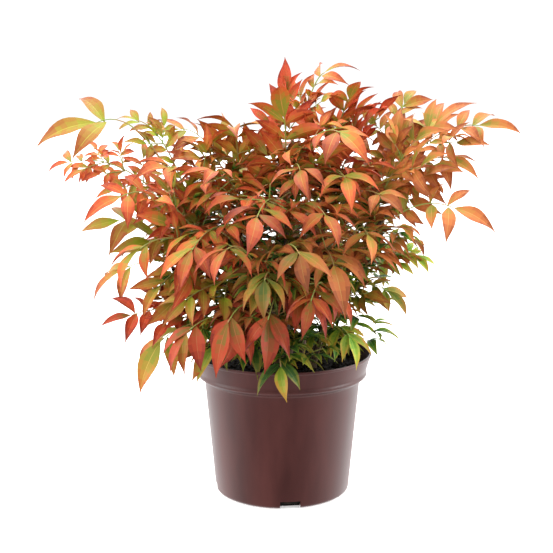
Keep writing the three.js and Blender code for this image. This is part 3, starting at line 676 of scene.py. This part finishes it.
# A frond's leaflets and stalks, as shares of its usual leaf length or of its stem's length
TIP_LEAF, TOP_PAIRS, TOP_PAIR_LEAF, TOP_PAIR_REACH = 1.05, (0.15, 0.55, 1.2), 0.92, 0.7
FIRST_STALK, STALK_SPACING, STALK_REACH = 1.4, 0.85, 0.85
STALK_LENGTH, STALK_GROWTH, STALK_LENGTH_SPREAD = 0.7, 0.25, 0.15
STALK_RISE, STALK_SAG = 0.12, 0.3
END_LEAF, SIDE_PLACE, SIDE_LEAF = 0.95, 0.72, 0.82
LEAF_ANGLE_SPREAD = 9
# Angles off the stem or twig in degrees, each with its spread
SIDE_ANGLES, STALK_ANGLES = (55, 10), (50, 10)
STEM_PAIR_ANGLES, TWIG_PAIR_ANGLES = (52, 16), (50, 14)
# The growth that is finer than the solids': least share of the usual leaf length, and its spread
INNER_LEAF, STEM_LEAF, TWIG_LEAF, TWIG_LENGTH = (0.5, 0.2), (0.55, 0.3), (0.5, 0.3), (0.25, 0.35)
INNER_PLACE = 0.36  # of the second pair, along a stalk
STEM_PAIR_START, STEM_PAIR_SPACING, STEM_PAIR_REACH = FIRST_STALK - 0.35, 0.42, 0.92
TWIG_LEAN, TWIG_PAIR_SPACING = 0.6, 14  # a twig leans towards its stem's tip
LEAST_LEAF, LEAST_SPACING = 20, 16
# A cane's own short shoots: their leaflets, and how much shorter they are towards its top
SHOOT_LENGTH, SHOOT_LEAF, SHOOT_DROOP, SHOOT_TAPER = 54, 40, 0.3, (1.15, 0.6)
SHOOT_LEAST, SHOOT_AGE = 0.3, 0.7  # the least length, as a share, and the most age
SHOOT_STRETCHES = [("green", 32, 0.04, 0.5), ("rust", 28, 0.45, 0.95)]  # tint, count, from, to
FINER_SEED, SHOOT_SEED, LOOK_SEED = 4001, 6001, 9001
OFF_COMPOST, OFF_RIM = 1, 2  # how clear a leaflet keeps


# Age runs from 0, on young growth, up to 1 low on a stem.
Leaf = namedtuple("Leaf", "root ahead upper length width age")


def leaning(ahead, aside, side, angle):
    """The way of a leaflet or stalk that leaves its twig at an angle, to one side of it."""
    return ahead * math.cos(angle) + aside * (side * math.sin(angle))


def grow_leaf(frond, draws, root, ahead, upper, length, age=0):
    way = ahead - UP * frond.droop
    way = unit(way + np.array([draws.spread(LEAF_SWAY) for _ in range(3)]))
    face = upper + UP * LEAF_LIFT + np.array([draws.spread(size) for size in LEAF_TILT])
    face = unit(face - way * face.dot(way))
    size = length * (LEAF_LEAST + LEAF_LENGTH_SPREAD * draws.next())
    width = size * (LEAF_WIDTH + LEAF_WIDTH_SPREAD * draws.next())
    frond.leaves.append(Leaf(root, way, face, size, width, age))


def grow_pair(frond, draws, foot, ahead, aside, upper, along, angles, size, age=0):
    """Two leaflets on a stem or stalk, one on each side, some way along from its foot. angles
    are their usual angle and its spread, and size gives the length of each."""
    for side in (-1, 1):
        angle = math.radians(angles[0] + draws.spread(angles[1]))
        root = foot + ahead * (along + side * STAGGER)
        grow_leaf(frond, draws, root, leaning(ahead, aside, side, angle), upper, size(), age)


def grow_top(frond, draws):
    """The spray at the tip: a leaf at the stem's end, with pairs behind it."""
    end, end_upper, _ = frond.frame(1)
    grow_leaf(frond, draws, frond.tip, end, end_upper, frond.leaf * TIP_LEAF)
    for share in TOP_PAIRS[:frond.tops]:
        if share * frond.leaf > frond.bend.length() * TOP_PAIR_REACH:
            break
        t, point = frond.bend.back(share * frond.leaf)
        ahead, upper, aside = frond.frame(t)
        grow_pair(frond, draws, point, ahead, aside, upper, 0,
                  (frond.spread, LEAF_ANGLE_SPREAD), lambda: frond.leaf * TOP_PAIR_LEAF)


def grow_side(frond, draws, foot, way, upper, length):
    """The spray on a stalk: a leaf at its end, with a pair behind it."""
    tip = foot + way * length
    grow_leaf(frond, draws, tip, way, upper, frond.leaf * END_LEAF)
    grow_pair(frond, draws, foot, way, unit(np.cross(way, upper)), upper, length * SIDE_PLACE,
              SIDE_ANGLES, lambda: frond.leaf * SIDE_LEAF)
    frond.stalks.append((foot, tip, upper))


def grow_sprays(frond):
    draws = Draws(frond.seed)
    grow_top(frond, draws)
    for k in range(frond.pairs):
        distance = frond.leaf * (FIRST_STALK + STALK_SPACING * k)
        if distance > frond.bend.length() * STALK_REACH:
            break
        t, foot = frond.bend.back(distance)
        ahead, upper, aside = frond.frame(t)
        for side in (-1, 1):
            angle = math.radians(STALK_ANGLES[0] + draws.spread(STALK_ANGLES[1]))
            rise = draws.spread(STALK_RISE) - frond.droop * STALK_SAG
            way = unit(leaning(ahead, aside, side, angle) + UP * rise)
            usual = STALK_LENGTH * frond.reach + STALK_GROWTH * k
            length = frond.leaf * (usual + draws.spread(STALK_LENGTH_SPREAD))
            grow_side(frond, draws, foot, way, upper, length)


def small_size(frond, draws, least, spread):
    """The length of a leaflet of the finer growth."""
    return max(LEAST_LEAF, frond.leaf * (least + spread * draws.next()))


def grow_finer(frond):
    """Carries the frond on to finer growth: a second pair on each stalk, pairs between the
    stalks, and older sprays low on the stem, darker partly with age and partly with painted
    shade. They stay within the frond's reach. A stem without stalks stays bare."""
    draws = Draws(frond.seed + FINER_SEED)
    for foot, tip, upper in frond.stalks:
        way, length = unit(tip - foot), np.linalg.norm(tip - foot)
        grow_pair(frond, draws, foot, way, unit(np.cross(way, upper)), upper,
                  length * INNER_PLACE, SIDE_ANGLES, lambda: small_size(frond, draws, *INNER_LEAF))
    if not frond.pairs:
        return
    total = frond.bend.length()
    distance = frond.leaf * STEM_PAIR_START
    while distance < total * STEM_PAIR_REACH:
        t, point = frond.bend.back(distance)
        ahead, upper, aside = frond.frame(t)
        low = distance / total
        grow_pair(frond, draws, point, ahead, aside, upper, 0, STEM_PAIR_ANGLES,
                  lambda: small_size(frond, draws, *STEM_LEAF), low)
        least, spread = TWIG_LENGTH
        grow_twig(frond, draws, point, ahead, frond.leaf * (least + spread * draws.next()), low)
        distance += max(LEAST_SPACING, frond.leaf * STEM_PAIR_SPACING)


def grow_twig(frond, draws, foot, ahead, length, age):
    """A short twig off the stem on any side. Its small leaflets lie level: one at its end, and
    pairs behind it."""
    turn = 2 * math.pi * draws.next()
    across = unit(np.cross(ahead, UP))
    out = across * math.cos(turn) + np.cross(across, ahead) * math.sin(turn)
    way = unit(ahead * TWIG_LEAN + out)
    aside = unit(np.cross(way, UP))
    pairs = 1 if length < TWIG_PAIR_SPACING * 2 else 2
    for lean, share in [(0, 1)] + [(side, 1 - 0.5 * i) for i in range(pairs) for side in (-1, 1)]:
        angle = math.radians(lean * (TWIG_PAIR_ANGLES[0] + draws.spread(TWIG_PAIR_ANGLES[1])))
        size = small_size(frond, draws, *TWIG_LEAF)
        leaf_way = leaning(way, aside, 1, angle)
        grow_leaf(frond, draws, foot + way * (length * share), leaf_way, UP, size, age)
    frond.twigs.append((foot, foot + way * length, np.cross(aside, way)))


class Shoots:
    """The leafy shoots that break from a cane along a stretch of it, inside the crown."""

    leaf, droop = SHOOT_LEAF, SHOOT_DROOP

    def __init__(self, cane, seed, tint, count, lowest, highest):
        self.seed, self.tint = seed, tint
        self.leaves, self.stalks, self.twigs = [], [], []
        draws = Draws(seed)
        most, less = SHOOT_TAPER
        for i in range(count):
            t = mix(lowest, highest, (i + draws.next()) / count)
            length = SHOOT_LENGTH * (SHOOT_LEAST + draws.next()) * (most - less * t)
            age = SHOOT_AGE * draws.next()
            grow_twig(self, draws, cane.point(t), cane.ahead(t), length, age)


def clear_of_pot(leaf):
    """Whether the leaf keeps off the pot's wall and rim and off the compost."""
    side = np.cross(leaf.upper, leaf.ahead) * (leaf.width / 2)
    for i in range(11):
        place = i / 10
        rise = 4 * LEAF_ARCH * place * (1 - place) * leaf.length
        middle = leaf.root + leaf.ahead * (leaf.length * place) + leaf.upper * rise
        half = side * (1 - abs(place - LEAF_WIDEST) / (1 - LEAF_WIDEST))
        for x, y, z in (middle + half, middle - half):
            radius = math.hypot(x, y)
            inside = radius < RIM_RADIUS - 2 * POT_WALL - OFF_COMPOST
            if inside and z < COMPOST_TOP + GRAIN + OFF_COMPOST:
                return False
            if not inside and radius < RIM_RADIUS + OFF_RIM and z < POT_HEIGHT + OFF_RIM:
                return False
    return True


for frond in fronds:
    grow_sprays(frond)
    grow_finer(frond)
shoots = []
for cane in canes:
    for stretch in SHOOT_STRETCHES:
        shoots.append(Shoots(cane, SHOOT_SEED + SEED_STEP * len(shoots), *stretch))
for sprig in fronds + shoots:
    sprig.leaves = [leaf for leaf in sprig.leaves if clear_of_pot(leaf)]


# The colours of a sunlit leaflet, from its foot to its tip and then of its midrib
TINTS = {
    "lime": "#8A9A24 #94902A #9C842D #A0762E #9E682C #985427 #ACA640",
    "gold": "#86862C #9C842E #AA7C2F #AE6C2C #A85A28 #944522 #B89A48",
    "coral": "#8A862E #A87A30 #BC682E #C25B30 #BA4F2B #A04025 #C68E4C",
    "orange": "#888A30 #A67C30 #B86C2F #BC6030 #B2522B #9A4525 #C49A48",
    "rust": "#8C8634 #A68236 #B8783A #BE703A #B26436 #9A522C #C49452",
    "red": "#8C6A29 #AC5A2A #BC4F2B #BD4828 #AB3C23 #8F311E #C07046",
    "green": "#5A8A26 #6A942A #7E9E2E #96A434 #ACA438 #B89236 #9CB64E",
    "olive": "#647C2A #7E802C #94802E #A47B2E #A46D2A #8E5826 #A89A42",
    "deep_green": "#2A5220 #305C22 #3A6A26 #507A28 #708A2E #929036 #6E8E42",
    "deep_rust": "#70682E #88682E #9A602E #9E5A2C #925029 #7A4222 #AE8250",
}
# The tints of an old leaflet low on its stem: partly its own older colour, partly painted shade
OLD_AND_SHADED_TINTS = {"lime": ("olive", "deep_green"), "gold": ("olive", "deep_green"),
             "green": ("deep_green",), "olive": ("deep_green", "olive")}
OLD_AND_SHADED_WARM_TINTS = ("deep_rust", "deep_green", "deep_rust", "olive")
OLD_AGE, OLD_AGE_RISE = 0.3, 0.6  # from what age it has them, and how that rises up the crown
SHADE_TINTS = {"green": "deep_green"}  # of any leaflet in the crown's heart
# Painted shade and light on a leaflet's colours, from the crown's heart to its sunlit edge
PAINTED_SHADES = (0.7, 0.83, 0.95, 1.08)
SHADE_POWERS = (1, 1.18, 1.5)  # by which red, green and blue darken
# What sets its painted light: how far out and how high it is, less how deep in front or behind
CROWN_REACH, CROWN_HEIGHT, CORE_DEPTH, DEEP = 200, 300, 60, 100
LIT_OUT, LIT_HIGH, LIT_DEEP, LIT_PALE, LIT_OLD = 0.62, 0.8, 0.75, 0.25, 0.15
LIT_STEPS, LIT_LUCK = 2.8, 1.3
# Across a leaflet: the place of each line as a share of its half width. The blade rises between
# the midrib and the edge, and BLADE_LINE is where.
BLADE_LINE, RIB_LINE = 0.55, 0.035
LEAF_LINES = (-1, -BLADE_LINE, -RIB_LINE, RIB_LINE, BLADE_LINE, 1)
LEAF_ROWS, RIB, EDGES = 13, 2, (0, 4)  # RIB and EDGES count the strips between the lines
VEIN_SPACING = 2.0833
VEIN_RISE = 0.07  # of the blade between its side veins, as a share of the half width
VEIN_SLANT = 0.05  # how far forward a side vein runs to the edge, as a share of the length
# The fold along the midrib, the curl of the tip and the waves of the edge, each with its spread
FOLD, CURL, EDGE_WAVE, WAVE_TURNS = (0.34, 0.22), (0.05, 0.16), (0.05, 0.05), 11
TWIST, TWIST_FROM, TIP_SWAY = 0.8, 0.3, 0.09  # the most, either way, and where it starts
POINT = 0.03  # least half width, as a share of the widest
FOOT_SHAPE, TIP_SHAPE = 0.95, 1.35  # powers by which the blade widens and narrows
# Colours go by steps along the blade, further on at its edges and on every other row
RIB_STEP, BLADE_STEPS = -1, 6
STEP_REACH, STEP_SPREAD, VEIN_STEP, EDGE_STEP, GREEN_EDGE_STEP = 0.9, 0.24, 0.03, 0.2, 0.3


def with_painted_light(colour, share):
    """The colour with painted shade: darker and a little redder, or paler where share passes 1."""
    parts = [int(colour[i:i + 2], 16) for i in (1, 3, 5)]
    kept = [round(p * share ** power) for p, power in zip(parts, SHADE_POWERS)]
    return "#%02X%02X%02X" % tuple(min(255, part) for part in kept)


def shade_of(leaf, tint, draws):
    """Its step of painted light and shade: sunlit at the crown's top and sides, dark in its heart.
    """
    x, y, z = leaf.root
    rise = (z - POT_HEIGHT) / CROWN_HEIGHT
    lit = LIT_OUT * abs(x) / CROWN_REACH + LIT_HIGH * rise
    lit -= LIT_DEEP * rise * max(0, abs(y) - CORE_DEPTH) / DEEP
    # Painted light: lime and gold leaflets are paled, and so are old leaflets deep in the crown,
    # where shade falls.
    if tint in ("lime", "gold"):
        lit += LIT_PALE
    if leaf.age:
        lit += LIT_OLD
    return min(3 if leaf.age else 2, max(0, int(lit * LIT_STEPS + draws.next() * LIT_LUCK)))


def leaf_skin(name, colour):
    """A waxy leaf skin, IOR 1.45: a soft sheen over a matt blade with fine raised veins."""
    material, tree, shader = start_material(
        name, colour, {"Roughness": 0.5, "IOR": 1.45, "Specular IOR Level": 0.24},
    )
    place = add_node(tree, "TexCoord").outputs["Object"]
    veins = add_node(tree, "TexNoise", {"Vector": place, **noise_of(VEIN_SPACING, 3)})
    add_node(tree, "Bump",
             {"Height": veins.outputs["Fac"], "Strength": 0.35, "Distance": 0.0006},
             {"Normal": shader.inputs["Normal"]})
    return material


def half_width(place):
    """The blade's half width along it, as a share of its widest."""
    if place < LEAF_WIDEST:
        return math.sin(math.pi / 2 * place / LEAF_WIDEST) ** FOOT_SHAPE
    return math.cos(math.pi / 2 * (place - LEAF_WIDEST) / (1 - LEAF_WIDEST)) ** TIP_SHAPE


def leaf_points(leaf, draws):
    """A grid of points over the blade, from its foot to its tip and from edge to edge."""
    fold = FOLD[0] + draws.spread(FOLD[1])
    curl = CURL[0] + CURL[1] * draws.next()
    twist = draws.spread(TWIST)
    wave, phase = EDGE_WAVE[0] + EDGE_WAVE[1] * draws.next(), 6 * draws.next()
    sway = draws.spread(TIP_SWAY)
    side = np.cross(leaf.upper, leaf.ahead)
    points = []
    for row in range(LEAF_ROWS):
        place = row / (LEAF_ROWS - 1)
        rise = 4 * LEAF_ARCH * place * (1 - place) - curl * place ** 3
        middle = leaf.root + leaf.ahead * (leaf.length * place) + leaf.upper * (leaf.length * rise)
        middle = middle + side * (leaf.length * sway * place ** 2)
        inner = math.sin(math.pi * place)
        vein = VEIN_RISE * (inner if row % 2 else -inner)
        turn = twist * (place - TWIST_FROM)
        across = side * math.cos(turn) + leaf.upper * math.sin(turn)
        upper = leaf.upper * math.cos(turn) - side * math.sin(turn)
        half = leaf.width / 2 * max(half_width(place), POINT)
        for line in LEAF_LINES:
            lift = fold * abs(line)
            lift += wave * line * line * math.sin(WAVE_TURNS * place + phase + 2 * line)
            if abs(line) == BLADE_LINE:
                lift += vein
            on = leaf.ahead * (VEIN_SLANT * leaf.length * inner * abs(line))
            points.append(middle + on + across * (line * half) + upper * (lift * half))
    return points


def leaf_steps(tint, draws):
    """The step of the tint's colours on each face: further on at the edges and the tip."""
    ahead = draws.spread(STEP_SPREAD)
    edge = GREEN_EDGE_STEP if tint in ("green", "deep_green") else EDGE_STEP
    steps = []
    for row in range(LEAF_ROWS - 1):
        vein = VEIN_STEP if row % 2 else -VEIN_STEP
        for strip in range(len(LEAF_LINES) - 1):
            if strip == RIB:
                steps.append(RIB_STEP)
                continue
            rim = edge if strip in EDGES else 0
            place = STEP_REACH * (row + 0.5) / (LEAF_ROWS - 1) + ahead + rim + vein
            place += draws.spread(VEIN_STEP)
            steps.append(min(BLADE_STEPS - 1, max(0, int(place * BLADE_STEPS))))
    return steps


leafage = {tint: dict(points=[], faces=[], kinds=[])
           for tint in sorted({frond.tint for frond in fronds})}
for sprig in fronds + shoots:
    draws = Draws(sprig.seed + LOOK_SEED)
    mesh = leafage[sprig.tint]
    for leaf in sprig.leaves:
        tint = sprig.tint
        rise = (leaf.root[2] - POT_HEIGHT) / CROWN_HEIGHT
        # Old leaflets low in the crown take darker tints: partly their age, partly painted shade.
        if leaf.age > OLD_AGE + OLD_AGE_RISE * rise:
            choice = OLD_AND_SHADED_TINTS.get(tint, OLD_AND_SHADED_WARM_TINTS)
            tint = choice[int(draws.next() * len(choice))]
        first, lines = len(mesh["points"]), len(LEAF_LINES)
        mesh["points"] += leaf_points(leaf, draws)
        # Painted light and shade: each leaflet takes a darker or paler copy of its colours by its
        # place, and a green one in the deepest painted shade turns deep green.
        shade = shade_of(leaf, tint, draws)
        if shade == 0:
            tint = SHADE_TINTS.get(tint, tint)
        mesh["kinds"] += [(tint, shade, step) for step in leaf_steps(tint, draws)]
        for row in range(first, first + (LEAF_ROWS - 1) * lines, lines):
            mesh["faces"] += [(a, a + 1, a + lines + 1, a + lines)
                              for a in range(row, row + lines - 1)]

leaf_skins = {}
for tint, mesh in leafage.items():
    used = sorted(set(mesh["kinds"]), key=str)
    for key in used:
        if key not in leaf_skins:
            name, shade, step = key
            part = "midrib" if step == RIB_STEP else f"blade_{step}"
            # Each material is a copy of a tint's colour with its step of painted light and shade.
            colour = with_painted_light(TINTS[name].split()[step], PAINTED_SHADES[shade])
            leaf_skins[key] = leaf_skin(f"waxy_{name}_{part}_{shade}", colour)
    index = {key: i for i, key in enumerate(used)}
    piece = add_piece(
        f"leaflets_{tint}", mesh["points"], mesh["faces"], [leaf_skins[key] for key in used],
        [index[key] for key in mesh["kinds"]],
    )
    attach(piece, "root")
    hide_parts(*[frond.name for frond in fronds if frond.tint == tint])


# ---- the fronds' green wood --------------------------
# The stems and stalks are round and wiry. A sheath swells out round each stem's foot, where it
# clasps its cane.

# Young wood, smooth and slightly waxy, green with a pink flush in patches.
FLUSH_PATCH = 16.667
fresh_stem = grained_material(
    "fresh_green_stem", "#8A8A42", {"Roughness": 0.5},
    noise_of(FLUSH_PATCH, 3), [(0.4, "#7C9440"), (0.65, "#A0764A")],
)[0]

STEM_STATIONS = 16
STEM_RADII, STALK_RADII, SHEATH_RADII = (1.05, 0.5), (0.7, 0.42), (2.3, 1.9)  # at foot and tip
FOOT_SWELLING, SWELLING_FADE = 1.1, 40
SHEATH_DEPTH, SHEATH_END = 3, 1.2  # how far down the cane and up the stem a sheath reaches
STALK_PLACES = (0, 0.25, 0.5, 0.75, 1)

green_wood = Tubes(6)
for frond in fronds:
    shares = [k / (STEM_STATIONS - 1) for k in range(STEM_STATIONS)]
    cane = canes[frond.cane - 1]
    centres = [frond.bend.point(t) for t in shares]
    aheads = [frond.bend.ahead(t) for t in shares]
    green_wood.add(
        centres, aheads, frond.bend.sideways,
        lambda t, _: mix(*STEM_RADII, t) + FOOT_SWELLING * math.exp(-t * SWELLING_FADE),
    )
    heart = cane.point(frond.at) - cane.ahead(frond.at) * SHEATH_DEPTH
    way = unit(centres[0] - heart)
    green_wood.add([heart, mix(heart, centres[0], 0.5), centres[0] + aheads[0] * SHEATH_END],
                   [way, way, aheads[0]], frond.bend.sideways,
                   lambda t, _: mix(*SHEATH_RADII, t))
for sprig in fronds + shoots:
    for foot, tip, upper in sprig.stalks + sprig.twigs:
        way = unit(tip - foot)
        side = unit(np.cross(way, upper))
        centres = [mix(foot, tip, t) + upper * (2 * t * (1 - t)) for t in STALK_PLACES]
        green_wood.add(centres, [way] * len(centres), side, lambda t, _: mix(*STALK_RADII, t))
frond_stems = add_piece("frond_stems", green_wood.points, green_wood.faces, [fresh_stem])
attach(frond_stems, "root")
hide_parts(*[frond.name for frond in fronds])


# ---- the studio --------------------------------------
# A plain white table under soft light: a large soft box at each side, one overhead, and a bright
# surround behind the plant, with the side of the room behind the camera left darker.

CAMERA_PLACE = (-6.1, -1125, 421)
CAMERA_DOWN = 9.62  # degrees below level
FOCAL_PIXELS = 1080
IMAGE_PIXELS = 553
SENSOR = 36
TABLE_SIDE, TABLE_TOP = 24000, -0.5  # the top lies just under the pot
TABLE_SMEAR = 25
PLANT_MIDDLE = (0, 0, 0.25)  # in metres, as are the soft boxes
BACKDROP = 1.1  # how bright the surround looks itself

scene = bpy.context.scene

# Matt white laminate, lit a little from within, so that it stays white up to its far edge.
white_table, tree, shader = start_material(
    "matt_white_table", "#F4F4F2", {"Emission Color": (1, 1, 1, 1), "Emission Strength": 0.35},
)
place = add_node(tree, "TexCoord").outputs["Object"]
grain = add_node(tree, "TexNoise", {"Vector": place, **noise_of(TABLE_SMEAR, 2)})
add_node(tree, "MapRange", {"Value": grain.outputs["Fac"], "To Min": 0.75, "To Max": 0.9},
         {"Result": shader.inputs["Roughness"]})
half = TABLE_SIDE / 2
table_corners = [(-half, -half), (half, -half), (half, half), (-half, half)]
table_top = add_piece("table_top", [(x, y, TABLE_TOP) for x, y in table_corners],
                      [(0, 1, 2, 3)], [white_table], smooth=False)
table_top.visible_diffuse = False
table_top.visible_glossy = False

world = bpy.data.worlds.new("studio_surround")
world.use_nodes = True
scene.world = world
tree = world.node_tree
tree.nodes.clear()
way = add_node(tree, "SeparateXYZ",
               {"Vector": add_node(tree, "TexCoord").outputs["Generated"]})
# How bright the surround is in each way: what gloss sees, what light comes down, and from where
surround_parts = []
for axis, low, high, dim, bright in (
    ("Y", -0.75, 0.5, 0.15, 2.6), ("Z", -0.4, 0.8, 1.9, 2.85), ("Y", -0.7, 0.7, 0.72, 1.2),
):
    part = add_node(tree, "MapRange", {"Value": way.outputs[axis], "From Min": low,
                                       "From Max": high, "To Min": dim, "To Max": bright})
    surround_parts.append(part.outputs["Result"])
towards_back, from_above, from_behind = surround_parts
ambient = add_node(tree, "Math", {0: from_above, 1: from_behind}, operation="MULTIPLY")
path = add_node(tree, "LightPath")
lit = add_node(tree, "Mix", {"Factor": path.outputs["Is Diffuse Ray"], "A": towards_back,
                             "B": ambient.outputs["Value"]})
strength = add_node(tree, "Mix", {"Factor": path.outputs["Is Camera Ray"],
                                  "A": lit.outputs["Result"], "B": BACKDROP})
surround = add_node(tree, "Background",
                    {"Color": (1, 1, 1, 1), "Strength": strength.outputs["Result"]})
add_node(tree, "OutputWorld", {"Surface": surround.outputs["Background"]})


def add_soft_box(name, place, size, power):
    """A square soft box that faces the middle of the plant, with its power in watts."""
    lamp = bpy.data.lights.new(name, "AREA")
    lamp.shape = "SQUARE"
    lamp.size = size
    lamp.energy = power
    box = bpy.data.objects.new(name, lamp)
    box.location = place
    way = Vector(PLANT_MIDDLE) - Vector(place)
    box.rotation_euler = way.to_track_quat("-Z", "Y").to_euler()
    scene.collection.objects.link(box)


add_soft_box("soft_box_left", (-1.5, -0.35, 0.5), 1.1, 18)
add_soft_box("soft_box_right", (1.6, -0.2, 0.5), 0.9, 16)
add_soft_box("soft_box_above", (0.1, 0.35, 1.8), 1.2, 13)

camera = bpy.data.cameras.new("camera")
camera.sensor_fit = "HORIZONTAL"
camera.sensor_width = SENSOR
camera.lens = FOCAL_PIXELS / IMAGE_PIXELS * SENSOR
camera.clip_end = 50
viewer = bpy.data.objects.new("camera", camera)
viewer.location = [part * MM for part in CAMERA_PLACE]
viewer.rotation_euler = (math.radians(90 - CAMERA_DOWN), 0, 0)
scene.collection.objects.link(viewer)
scene.camera = viewer
scene.view_settings.view_transform = "Standard"
